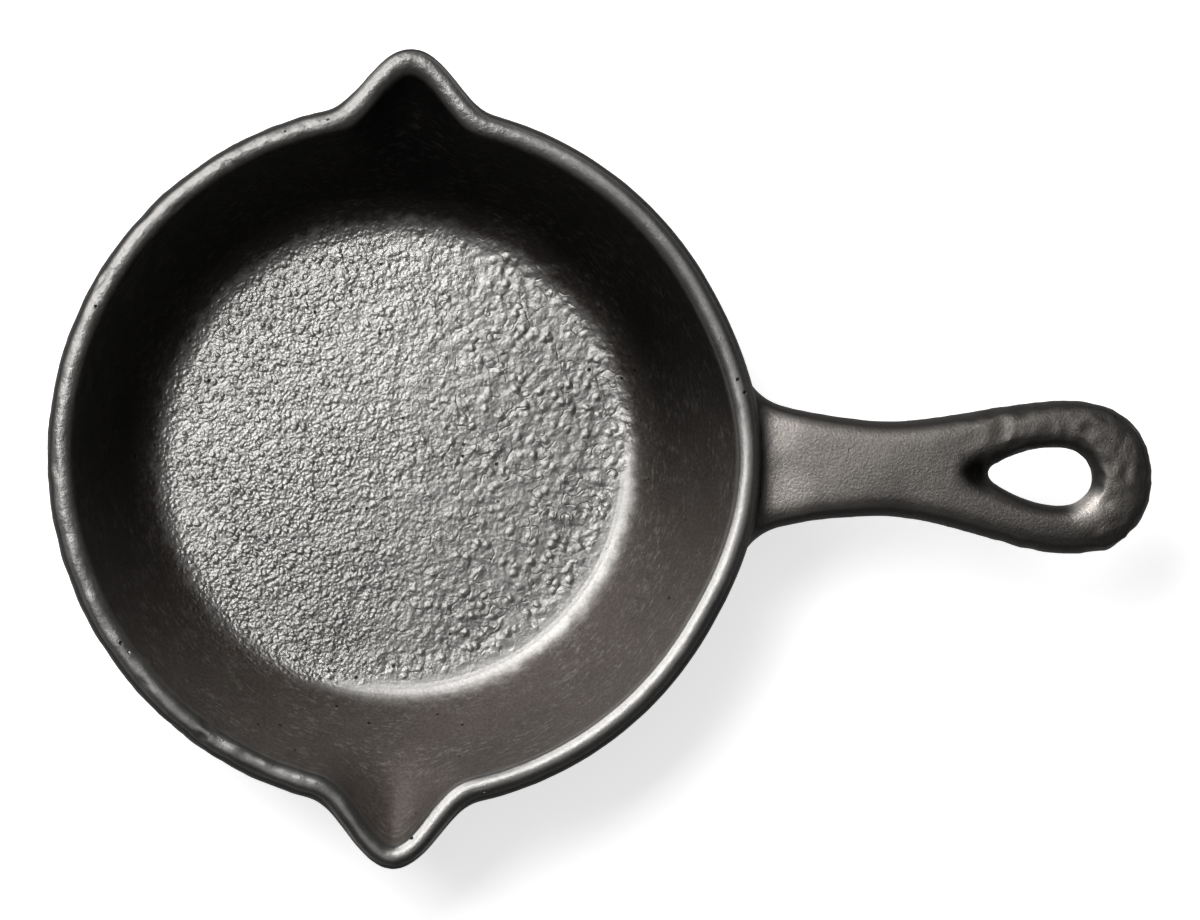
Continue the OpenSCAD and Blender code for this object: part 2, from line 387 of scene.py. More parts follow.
def eased(value, start, end):
    """0 before start and 1 past end, eased between them; end may be the smaller."""
    return float(smooth((value - start) / (end - start)))


def grain_height(p):
    """Height of the rough floor's broader lumps, from about -2 to 2."""
    flat = Vector((p.x, p.y, 0.0))
    broad = 0.9 * ripple(flat, 3.4 * MM, 19) + 0.8 * ripple(flat, 1.9 * MM, 23)
    return broad + 0.5 * ripple(flat, 9 * MM, 13)


def floor_lift(s, p, r):
    """Lumps of the rough floor. They run a little way up the cove, except where it is rubbed smooth."""
    turn = math.cos(math.atan2(p.y, p.x) - RUBBED_A)
    edge_r = s.floor_r + lerp(2.6 * MM, -0.6 * MM, eased(turn, 0.45, 0.9))
    edge_r += 1.0 * MM * ripple(p, 5 * MM, 29)
    lumps = s.grain_depth * grain_height(p) * eased(r, edge_r, edge_r - 2.2 * MM)
    # On the rubbed side the floor turns up a little before it meets the cove
    rise = FLOOR_RISE * eased(turn, 0.2, 0.8) * eased(r, s.floor_r - 6 * MM, s.floor_r + 1 * MM)
    return lumps + rise * eased(r, s.floor_r + 5.4 * MM, s.floor_r + 0.9 * MM)


def rim_lift(s, p):
    """Lumps and nicks of the rim, strong on the -X side and slight on the +X side."""
    rough = lerp(0.25, 1.0, eased(p.x, s.rim_r * 0.35, -s.rim_r * 0.75))
    lump = 0.16 * MM * ripple(p, 4.2 * MM, 31) + 0.12 * MM * ripple(p, 2.0 * MM, 37)
    nick = NICK_DEPTH * max(0.0, ripple(p, 2.4 * MM, 41) - NICK_FROM)
    return rough * (lump - nick)


def bowl_relief(s, section, co):
    """How far each of the round bowl's points moves out along its normal."""
    moved = np.zeros(len(co))
    middle_r = s.wall_r + s.wall_t / 2
    for i, (x, y, z) in enumerate(co):
        p = Vector((x, y, z))
        r = math.hypot(x, y)
        depth = math.hypot(r - section.wall_c[0], z - section.wall_c[1])
        inside = z > s.floor_t - 0.1 * MM and depth < middle_r
        if inside and r < s.floor_r + s.cove_r * 0.8 and z < s.floor_t + s.cove_r:
            moved[i] += floor_lift(s, p, r)
        if z > s.bowl_h - s.bead_h - 2 * MM:
            moved[i] += rim_lift(s, p)
        elif inside:
            moved[i] += 0.03 * MM * ripple(p, 6 * MM, 53)
        elif z > 0.4 * MM:
            moved[i] += 0.10 * MM * ripple(p, 9 * MM, 43) + 0.05 * MM * ripple(p, 3 * MM, 47)
    return moved


# ---- the handle ----

WAIST_SHARE = 0.33    # place of the waist, as a share of the handle's length
END_SHARE = 0.525     # length of the handle's rounded end, as a share of the eye's width
END_POWER = 2.2       # 2 makes the handle's end an ellipse, more squares it
HOLE_SHARE = 0.54     # length of the hole's round end, as a share of its width
TIP_POWER = 0.65      # 0.5 makes the hole's pointed end round, more sharpens it
GROOVE = 2.2          # how much longer the hole's rounding is at its pointed end
LEAST_LAND = 0.4 * MM   # least straight stretch in the hole, above and below mid-thickness
HOLE_ROUND_A = math.radians(72)   # how far the rounding of the hole's edges turns
TOP_FILLET = 3.0 * MM  # radius of the fillet between the rim and the handle's top
TOP_CROWN = 0.4 * MM   # how much the handle's top is crowned across its width


class HandleForm:
    """The handle's plan, its middle plane and its thickness."""

    def __init__(self, s, section):
        self.s = s
        self.length = s.handle_reach - s.rim_r
        self.waist_x = s.rim_r + WAIST_SHARE * self.length
        self.eye_x = s.handle_reach - s.handle_eye_w * END_SHARE
        self.hole_end_x = s.handle_reach - s.hole_end_wall
        self.hole_tip_x = self.hole_end_x - s.hole_l
        self.hole_wide_x = self.hole_end_x - s.hole_w * HOLE_SHARE
        self.under_z = self.mid_z(s.rim_r) - s.handle_t / 2 - s.under_fillet
        touch = (section.skin_r + s.under_fillet) ** 2 - (self.under_z - section.wall_c[1]) ** 2
        self.under_x = section.wall_c[0] + math.sqrt(touch)
        share = s.under_fillet / (section.skin_r + s.under_fillet)
        self.under_end_x = lerp(self.under_x, section.wall_c[0], share)

    @staticmethod
    def fillet_rise(radius, d):
        e = radius * (1 - min(1.0, max(0.0, d / radius)))
        return radius - math.sqrt(radius * radius - e * e)

    def half_w(self, x):
        s = self.s
        if x < self.waist_x:
            u = (self.waist_x - max(x, s.rim_r)) / (self.waist_x - s.rim_r)
            return lerp(s.handle_waist_w, s.handle_root_w, u * u) / 2
        if x < self.eye_x:
            u = float(smooth((x - self.waist_x) / (self.eye_x - self.waist_x)))
            return lerp(s.handle_waist_w, s.handle_eye_w, u) / 2
        u = min(1.0, (x - self.eye_x) / (s.handle_reach - self.eye_x))
        return s.handle_eye_w / 2 * (1 - u ** END_POWER) ** (1 / END_POWER)

    def mid_z(self, x):
        s = self.s
        u = min(1.0, max(0.0, (x - s.rim_r) / self.length))
        return s.bowl_h - s.handle_drop - s.handle_t / 2 + s.handle_rise * (1 - (1 - u) ** 2)

    def half_t(self, x):
        s = self.s
        u = min(1.0, max(0.0, (x - s.handle_reach + s.handle_edge) / s.handle_edge))
        return s.handle_t / 2 * math.sqrt(1 - u * u)

    def under_drop(self, x):
        d = max(0.0, self.under_x - max(x, self.under_end_x))
        return self.s.under_fillet - math.sqrt(self.s.under_fillet ** 2 - d * d)

    def point(self, x, v, top):
        """The place on the top or the underside, at v from -1 to 1 across the handle."""
        s = self.s
        flare = self.fillet_rise(s.root_fillet, x - s.rim_r)
        half_w = self.half_w(x) + flare
        if top:
            depth = self.half_t(x) + self.fillet_rise(TOP_FILLET, x - s.rim_r)
            depth += TOP_CROWN * (0.75 - v * v) * self.half_t(x) / (s.handle_t / 2)
            edge = min(s.handle_edge + flare, half_w * 0.96)
        else:
            depth = self.half_t(x) + self.under_drop(x)
            edge = min(s.handle_edge + flare + self.under_drop(x), half_w * 0.96)
        in_edge = max(0.0, 1 - half_w * (1 - abs(v)) / edge)
        rise = depth * math.sqrt(max(0.0, 1 - in_edge * in_edge))
        y = half_w * v
        bend = 1 - float(smooth((x - s.rim_r) / (self.waist_x - s.rim_r)))
        return (x + bend * (math.sqrt(s.rim_r ** 2 - y * y) - s.rim_r), y,
                self.mid_z(x) + (rise if top else -rise))

    def hole_point(self, a, grow):
        """Outline of the hang hole at angle a, made larger all round by grow."""
        s = self.s
        tip = self.hole_wide_x - self.hole_tip_x + grow * GROOVE
        end = self.hole_end_x - self.hole_wide_x + grow
        half_w = s.hole_w / 2 + grow
        c = math.cos(a)
        x = self.hole_wide_x + (tip if c < 0 else end) * c
        y = half_w * (math.sin((1 - abs(c)) * math.pi / 2) ** TIP_POWER if c < 0 else abs(math.sin(a)))
        return x, math.copysign(y, math.sin(a))


FLASH_STRETCHES = ((4.6 * MM, 7.6 * MM), (20.5 * MM, 27.0 * MM))   # measured past the hole's tip
FLASH_HEIGHT = 0.32 * MM
DENT_DEPTH = 0.62 * MM


def flash(form, x, y):
    """Height of the ridges of casting flash left on the handle's -Y edge."""
    at_edge = eased(-y - form.half_w(x), -2.2 * MM, -0.8 * MM)
    ridge = 0.0
    for start, end in FLASH_STRETCHES:
        a, b = form.hole_tip_x + start, form.hole_tip_x + end
        ridge = max(ridge, eased(x, a, a + 0.5 * MM) * eased(x, b, b - 0.8 * MM))
    return FLASH_HEIGHT * at_edge * ridge


def handle_dents(s, form, co):
    """How far each of the handle's points moves along its normal: soft hammer marks and a little skin."""
    moved = np.zeros(len(co))
    clear_x = s.rim_r + 2 * MM
    for i, (x, y, z) in enumerate(co):
        if x < clear_x:
            continue
        p = Vector((x, y, z))
        away = eased(x, clear_x, clear_x + 10 * MM)
        round_eye = eased(x, form.hole_tip_x - 12 * MM, form.hole_tip_x + 2 * MM)
        upper = eased(y, -6 * MM, 4 * MM)
        end = eased(x, form.hole_end_x - 2 * MM, form.hole_end_x + 2 * MM)
        dent = DENT_DEPTH * abs(ripple(p, 3.2 * MM, 61)) ** 1.5 * round_eye * max(upper * 0.8, end)
        skin = 0.12 * MM * ripple(p, 8 * MM, 67) + 0.03 * MM * ripple(p, 1.9 * MM, 71)
        moved[i] = away * (skin - dent + flash(form, x, y))
    return moved


# ---- operators ----

class SKILLET_OT_bowl(bpy.types.Operator):
    """Spin the bowl's section round, close the floor and the underside, and warp out the spouts"""

    bl_idname = "skillet.bowl"
    bl_label = "Cast Bowl"

    columns = 208    # round the bowl, in four equal sides of the floor's grid
    floor_cuts = 3   # how finely the floor is divided for its grain
    rim_cuts = 1     # and the rim for its lumps

    def execute(self, context):
        s = context.scene.skillet_sizes
        section = Section(s)
        outline = section.outline(s)
        bowl = outline_object(BOWL, outline)
        # The outline is left open between the edges of the underside and the floor
        ends = {tuple(Vector((r, 0, z))) for r, z in (outline[0], outline[-1])}
        select_edges(bowl, lambda edge: {tuple(corner.co) for corner in edge.verts} == ends)
        bpy.ops.mesh.delete(type="EDGE")
        bpy.ops.mesh.select_all(action="SELECT")
        bpy.ops.mesh.spin(steps=self.columns, angle=2 * math.pi, center=(0, 0, 0), axis=(0, 0, 1),
                          use_auto_merge=True)
        bpy.ops.mesh.select_all(action="SELECT")
        bpy.ops.mesh.remove_doubles(threshold=MERGE_GAP)
        self.close_floor(bowl, s)
        self.close_underside(bowl)
        bpy.ops.mesh.select_all(action="SELECT")
        bpy.ops.mesh.normals_make_consistent(inside=False)
        self.refine(bowl, s, section)
        to_object_mode()
        self.shape(bowl, s, section)
        return {"FINISHED"}

    def close_floor(self, bowl, s):
        """Fills the floor with a square grid whose four sides share out the columns."""
        mid_z = s.floor_t / 2
        select_edges(bowl, lambda e: e.is_boundary and e.verts[0].co.z > mid_z)
        bpy.ops.mesh.fill_grid(span=self.columns // 4, offset=self.columns // 8)

    def close_underside(self, bowl):
        """Fills the underside with one face and a ring of faces round it."""
        select_edges(bowl, lambda e: e.is_boundary)
        bpy.ops.mesh.edge_face_add()
        bpy.ops.mesh.inset(thickness=2 * MM, depth=0)

    def refine(self, bowl, s, section):
        """Divides the floor and the rim more finely than the walls."""
        fine_r = s.floor_r + 3.2 * MM

        def on_floor(centre, normal):
            return centre.z > s.floor_t / 2 and math.hypot(centre.x, centre.y) < fine_r and normal.z > 0.5

        select_faces(bowl, on_floor)
        bpy.ops.mesh.subdivide(number_cuts=self.floor_cuts, ngon=True)
        rim_z = section.bead_low_z + 0.5 * MM
        select_faces(bowl, lambda centre, normal: centre.z > rim_z)
        bpy.ops.mesh.subdivide(number_cuts=self.rim_cuts, ngon=True)

    def shape(self, bowl, s, section):
        """Warps out the spouts, and lays the relief along the warped bowl's normals."""
        co = points_of(bowl)
        relief = bowl_relief(s, section, co)
        set_points(bowl, warp_spouts(s, lean_root(s, co)))
        set_points(bowl, points_of(bowl) + normals_of(bowl) * relief[:, None])


class SKILLET_OT_handle(bpy.types.Operator):
    """Shape a bar into the handle, cut its hang hole and trim it inside the wall"""

    bl_idname = "skillet.handle"
    bl_label = "Cast Handle"

    rows_along = 64
    rows_across = 28
    skin_cell = 0.62 * MM   # size of the even cells that the handle's skin is made of
    skin_passes = 6         # how often that skin is smoothed
    hole_points = 64        # round the hole
    hole_rows = 5           # rows that round each of the hole's edges
    core_columns = 120      # round the bowl, in the tool that trims the handle
    core_rows = 8

    def execute(self, context):
        s = context.scene.skillet_sizes
        section = Section(s)
        form = HandleForm(s, section)
        handle = self.bar(s, form)
        hole = self.hole_tool(s, form)
        core = self.wall_core(s, section)
        apply_modifier(handle, "BOOLEAN", operation="DIFFERENCE", object=hole, solver="EXACT")
        apply_modifier(handle, "REMESH", mode="VOXEL", voxel_size=self.skin_cell)
        edit_all(handle)
        bpy.ops.mesh.vertices_smooth(factor=0.5, repeat=self.skin_passes)
        to_object_mode()
        co = points_of(handle)
        set_points(handle, co + normals_of(handle) * handle_dents(s, form, co)[:, None])
        co = points_of(handle)
        co[:, 1] -= s.handle_skew * smooth((co[:, 0] - form.waist_x) / (form.eye_x - form.waist_x))
        set_points(handle, co)
        apply_modifier(handle, "BOOLEAN", operation="DIFFERENCE", object=core, solver="EXACT")
        bpy.data.objects.remove(hole)
        bpy.data.objects.remove(core)
        return {"FINISHED"}

    def bar(self, s, form):
        """A grid laid along the handle, extruded to a top and an underside that meet at the edges."""
        bpy.ops.object.select_all(action="DESELECT")
        bpy.ops.mesh.primitive_grid_add(
            x_subdivisions=self.rows_along, y_subdivisions=self.rows_across, size=2)
        handle = named(HANDLE)
        bpy.ops.object.mode_set(mode="EDIT")
        bpy.ops.mesh.select_all(action="SELECT")
        bpy.ops.mesh.extrude_region_move(TRANSFORM_OT_translate={"value": (0, 0, 1)})
        to_object_mode()
        start_x = form.under_end_x - 2 * s.wall_t
        co = points_of(handle)
        shaped = []
        for u, v, up in co:
            x = self.along((u + 1) / 2, start_x, s, form)
            shaped.append(form.point(x, math.sin(v * math.pi / 2), up > 0.5))
        set_points(handle, shaped)
        edit_all(handle)
        merge_outward(2 * MERGE_GAP)
        return handle

    def along(self, u, start_x, s, form):
        """Place along the handle: even steps, which draw together over its rounded end."""
        eye_u = 0.7
        if u < eye_u:
            return lerp(start_x, form.eye_x, u / eye_u)
        nearly_round = math.radians(88)
        return lerp(form.eye_x, s.handle_reach, math.sin(nearly_round * (u - eye_u) / (1 - eye_u)))

    def hole_tool(self, s, form):
        """The tool that cuts the hole: straight at mid-thickness, then rounded out above and below."""
        land = max(LEAST_LAND, s.handle_t / 2 - s.hole_round)
        half = []
        for i in range(self.hole_rows + 1):
            a = HOLE_ROUND_A * i / self.hole_rows
            half.append((land + s.hole_round * math.sin(a), s.hole_round * (1 - math.cos(a))))
        half.append((s.handle_t, s.hole_round))
        levels = [(-h, g) for h, g in reversed(half)] + half
        bpy.ops.object.select_all(action="DESELECT")
        bpy.ops.mesh.primitive_cylinder_add(
            vertices=self.hole_points, radius=1, depth=1, end_fill_type="NGON", location=(0, 0, 0))
        tool = named("hole_tool")
        set_points(tool, [(x, y, -1.0 if z < 0 else 1.0) for x, y, z in points_of(tool)])
        inner = len(levels) - 2
        select_faces(tool, lambda centre, normal: abs(normal.z) < 0.5)
        mesh = bmesh.from_edit_mesh(tool.data)
        uprights = [e for e in mesh.edges if abs(e.verts[0].co.z - e.verts[1].co.z) > 1]
        bmesh.ops.subdivide_edges(mesh, edges=uprights, cuts=inner, use_grid_fill=True)
        bmesh.update_edit_mesh(tool.data)
        to_object_mode()
        shaped = []
        for x, y, z in points_of(tool):
            level, grow = levels[round((z + 1) / 2 * (len(levels) - 1))]
            px, py = form.hole_point(math.atan2(y, x), grow)
            shaped.append((px, py, form.mid_z(px) + level))
        set_points(tool, shaped)
        return tool

    def wall_core(self, s, section):
        """All that lies inside the middle of the wall, where the handle has to stop."""
        middle = arc(section.wall_c, s.wall_r + s.wall_t / 2, section.heel_a, section.lip_a,
                     self.core_rows)
        top_z = s.bowl_h + 2 * MM
        outline = [(0, 0), (middle[0][0], 0)] + middle + [(middle[-1][0], top_z), (0, top_z)]
        core = outline_object("wall_core", outline)
        select_edges(core, lambda edge: all(corner.co.x < MERGE_GAP for corner in edge.verts))
        bpy.ops.mesh.delete(type="EDGE")
        bpy.ops.mesh.select_all(action="SELECT")
        bpy.ops.mesh.spin(steps=self.core_columns, angle=2 * math.pi, center=(0, 0, 0), axis=(0, 0, 1))
        merge_outward(MERGE_GAP)
        return core


class SKILLET_OT_join(bpy.types.Operator):
    """Fuse the handle to the bowl and ease the seam, so that the pan is one casting"""

    bl_idname = "skillet.join"
    bl_label = "Fuse Handle to Bowl"

    seam_a = math.radians(12)   # an inward fold sharper than this is part of the seam
    seam_rows = 3               # rows of points eased on each side of it
    seam_passes = 16

    def execute(self, context):
        s = context.scene.skillet_sizes
        bowl = bpy.data.objects[BOWL]
        handle = bpy.data.objects[HANDLE]
        apply_modifier(bowl, "BOOLEAN", operation="UNION", object=handle, solver="EXACT")
        bpy.data.objects.remove(handle)
        bowl.name = PAN
        bowl.data.name = PAN
        self.ease_seam(bowl, s)
        select_only(bowl)
        bpy.ops.object.shade_smooth()
        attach(bowl, "root")
        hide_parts("pan")
        return {"FINISHED"}

    def ease_seam(self, pan, s):
        """Smooths the fold where the handle meets the bowl's outer wall."""
        low_r = s.floor_r + s.cove_r

        def in_seam(edge):
            place = (edge.verts[0].co + edge.verts[1].co) / 2
            if place.x < low_r * 0.9 or abs(place.y) > s.handle_root_w or not edge.is_manifold:
                return False
            if place.z > s.bowl_h - s.bead_outer_r * 0.6 or math.hypot(place.x, place.y) < low_r:
                return False
            return edge.calc_face_angle_signed(0) < -self.seam_a

        select_edges(pan, in_seam)
        bpy.ops.mesh.select_mode(type="VERT")
        for _ in range(self.seam_rows):
            bpy.ops.mesh.select_more()
        bpy.ops.mesh.vertices_smooth(factor=0.5, repeat=self.seam_passes)
        to_object_mode()


# ---- finish ----

# Painted shade: near black laid on the wall at -X +Y, which faces away from the lamps
PAINTED_SHADE_COLOUR = (0.009, 0.008, 0.0075, 1.0)
# Grime and painted shade: the unwiped outer side of the rim, the handle's flanks and the undersides,
# darkened also because they turn away from the lamps
GRIME_AND_SHADE = (0.022, 0.020, 0.018, 1.0)
# Polish and painted highlight: the rubbed side of the cove, painted paler where the key lamp's highlight
# falls
POLISHED_HIGHLIGHT = (0.35, 0.342, 0.33, 1.0)
SPECK = (0.26, 0.25, 0.24, 1.0)
SCUFF = (0.27, 0.26, 0.25, 1.0)
RIM_TONE = 0.74          # how pale the rim's iron is, next to the floor's
PIT_SHADE = 0.85         # how much darker a pinhole is than the iron round it
CHIP_DEPTH = 0.20 * MM   # depth of the rim's broken skin
PIT_DEPTH = 0.25 * MM
SAND_LIFT = 0.06 * MM    # height of the sand skin where its grain is 1


def feed(tree, socket, value):
    """Links an output to the socket, or sets its value."""
    if isinstance(value, bpy.types.NodeSocket):
        tree.links.new(value, socket)
    else:
        socket.default_value = value


def add_node(tree, kind, **settings):
    """A node with these properties; a key that is one of its inputs sets or links that input."""
    node = tree.nodes.new(kind)
    for key, value in settings.items():
        if hasattr(node, key):
            setattr(node, key, value)
    for key, value in settings.items():
        if not hasattr(node, key):
            feed(tree, node.inputs[key], value)
    return node


def maths(tree, operation, *values):
    node = add_node(tree, "ShaderNodeMath", operation=operation)
    for socket, value in zip(node.inputs, values):
        feed(tree, socket, value)
    return node.outputs[0]


def times(tree, first, *others):
    """Product of two or more values."""
    for value in others:
        first = maths(tree, "MULTIPLY", first, value)
    return first


def plus(tree, first, *others):
    """Sum of two or more values."""
    for value in others:
        first = maths(tree, "ADD", first, value)
    return first


def minus(tree, a, b):
    return maths(tree, "SUBTRACT", a, b)


def rest_of(tree, mask):
    """The mask turned over: 1 where it is 0."""
    return minus(tree, 1.0, mask)


def larger(tree, first, *others):
    """The largest of two or more values."""
    for value in others:
        first = maths(tree, "MAXIMUM", first, value)
    return first


def ramp(tree, value, low, high, to_low=0.0, to_high=1.0):
    """The value's range from low to high, eased on to another range."""
    node = add_node(tree, "ShaderNodeMapRange", interpolation_type="SMOOTHSTEP")
    for socket, number in zip(node.inputs, (value, low, high, to_low, to_high)):
        feed(tree, socket, number)
    return node.outputs[0]


def mix(tree, kind, sockets, values):
    """A Mix node of this kind, which puts out what its last socket's number stands for."""
    node = add_node(tree, "ShaderNodeMix", data_type=kind)
    for place, value in zip(sockets, values):
        feed(tree, node.inputs[place], value)
    return node


def blend(tree, factor, a, b):
    """From colour a to colour b."""
    return mix(tree, "RGBA", (0, 6, 7), (factor, a, b)).outputs[2]


def blend_value(tree, factor, a, b):
    """From value a to value b."""
    return mix(tree, "FLOAT", (0, 2, 3), (factor, a, b)).outputs[0]


def scaled(tree, value, factor):
    """A colour made lighter or darker."""
    node = add_node(tree, "ShaderNodeVectorMath", operation="SCALE", Scale=factor)
    feed(tree, node.inputs[0], value)
    return node.outputs[0]


def split(tree, vector):
    """The three parts of a vector."""
    return add_node(tree, "ShaderNodeSeparateXYZ", Vector=vector).outputs


def cloud(tree, where, scale, detail=2.0, roughness=0.5):
    """Noise from 0 to 1."""
    return add_node(tree, "ShaderNodeTexNoise", Vector=where, Scale=scale, Detail=detail,
                    Roughness=roughness).outputs["Fac"]


def cells(tree, where, scale, channel):
    """Distance to the middle of the cell, and a random number for each cell."""
    node = add_node(tree, "ShaderNodeTexVoronoi", Vector=where, Scale=scale)
    pick = add_node(tree, "ShaderNodeSeparateColor", Color=node.outputs["Color"])
    return node.outputs["Distance"], pick.outputs[channel]


def blob(tree, place, centre, size):
    """A soft round patch, 1 at its centre and 0 at this distance from it."""
    span = add_node(tree, "ShaderNodeVectorMath", operation="DISTANCE")
    feed(tree, span.inputs[0], place)
    span.inputs[1].default_value = centre
    return ramp(tree, span.outputs["Value"], size, 0.25 * size)


# ---- finish: patterns, each a group of nodes ----

def new_group(name, inputs, outputs):
    """An empty node group with these float inputs, given with their defaults, and outputs."""
    group = bpy.data.node_groups.new(name, "ShaderNodeTree")
    group.interface.new_socket("Vector", in_out="INPUT", socket_type="NodeSocketVector")
    for label, default in inputs.items():
        socket = group.interface.new_socket(label, in_out="INPUT", socket_type="NodeSocketFloat")
        socket.default_value = default
    for label in outputs:
        group.interface.new_socket(label, in_out="OUTPUT", socket_type="NodeSocketFloat")
    return group, group.nodes.new("NodeGroupInput"), group.nodes.new("NodeGroupOutput")


def use_group(tree, group, **inputs):
    """A node group placed in a tree, with its inputs set or linked."""
    node = add_node(tree, "ShaderNodeGroup", node_tree=group)
    for key, value in inputs.items():
        feed(tree, node.inputs[key], value)
    return node.outputs


def sand_group():
    """Fine sand skin of a casting, in metres of height: grains, and a few open pinholes."""
    group, start, end = new_group("Sand Skin", {"Grain": 1.0}, ["Height", "Pits"])
    where = start.outputs["Vector"]
    grain = cloud(group, where, 1900.0, 3.0, 0.6)
    distance = add_node(group, "ShaderNodeTexVoronoi", Vector=where, Scale=330.0).outputs["Distance"]
    few = ramp(group, cloud(group, where, 170.0), 0.58, 0.63)
    pits = times(group, ramp(group, distance, 0.13, 0.07), few)
    lift = times(group, minus(group, grain, 0.5), times(group, start.outputs["Grain"], SAND_LIFT))
    feed(group, end.inputs["Height"], minus(group, lift, times(group, pits, PIT_DEPTH)))
    feed(group, end.inputs["Pits"], pits)
    return group


def pearls(group, where, scale, share):
    """Round lumps in some of the cells of this scale, from 0 to 1."""
    distance, pick = cells(group, where, scale, 0)
    return times(group, ramp(group, distance, 0.56, 0.04), ramp(group, pick, share, share + 0.3))


def centred(group, where, scale):
    """Smooth noise about zero."""
    return minus(group, cloud(group, where, scale, 1.0, 0.4), 0.5)


def creases(group, where, scale):
    """Short creases, from 0 to 1, between lumps of this scale."""
    away = maths(group, "ABSOLUTE", minus(group, cloud(group, where, scale, 0.0), 0.47))
    gaps = cloud(group, where, scale * 0.57, 0.0)
    return times(group, ramp(group, away, 0.06, 0.0), ramp(group, gaps, 0.50, 0.60))


def layered(group, *layers):
    """Sum of layers of relief, each with its height in millimetres."""
    total = 0.0
    for value, height in layers:
        total = maths(group, "MULTIPLY_ADD", value, height * MM, total)
    return total


def grain_group():
    """The rough floor's lumps, as height in metres, from broad and soft to fine and crisp."""
    group, start, end = new_group("Floor Grain", {"Fine": 0.5}, ["Height"])
    # The noise is turned, so that its own grid doesn't lie flat in the floor
    where = add_node(group, "ShaderNodeMapping", Vector=start.outputs["Vector"],
                     Rotation=(0.55, 0.35, 0.65)).outputs[0]
    broad, fine, finest = (centred(group, where, scale) for scale in (480.0, 950.0, 1900.0))
    crisp = layered(group, (fine, 0.20), (finest, 0.16), (pearls(group, where, 800.0, 0.05), 0.20),
                    (creases(group, where, 700.0), -0.05))
    calm = layered(group, (broad, 0.34), (fine, 0.08), (finest, 0.05),
                   (pearls(group, where, 540.0, 0.20), 0.19), (creases(group, where, 430.0), -0.07))
    feed(group, end.inputs["Height"], blend_value(group, start.outputs["Fine"], calm, crisp))
    return group


def scuff_group():
    """Fine scuffs that run round the walls, in drifting patches, as a mask from 0 to 1."""
    group, start, end = new_group("Wall Scuffs", {"Radius": 0.06}, ["Mask"])
    where, radius = start.outputs["Vector"], start.outputs["Radius"]
    x, y, z = split(group, where)
    # Stretched round the bowl, because the pattern changes slowly with the angle and fast with height
    around = add_node(group, "ShaderNodeCombineXYZ",
                      X=times(group, maths(group, "DIVIDE", x, radius), 26.0),
                      Y=times(group, maths(group, "DIVIDE", y, radius), 26.0),
                      Z=times(group, z, 1700.0)).outputs[0]
    lines = ramp(group, cloud(group, around, 1.0, 3.0, 0.65), 0.47, 0.74)
    patches = ramp(group, cloud(group, where, 130.0, 4.0, 0.6), 0.36, 0.60)
    feed(group, end.inputs["Mask"], times(group, lines, patches))
    return group


# ---- finish: where each wear lies, and the iron's material ----

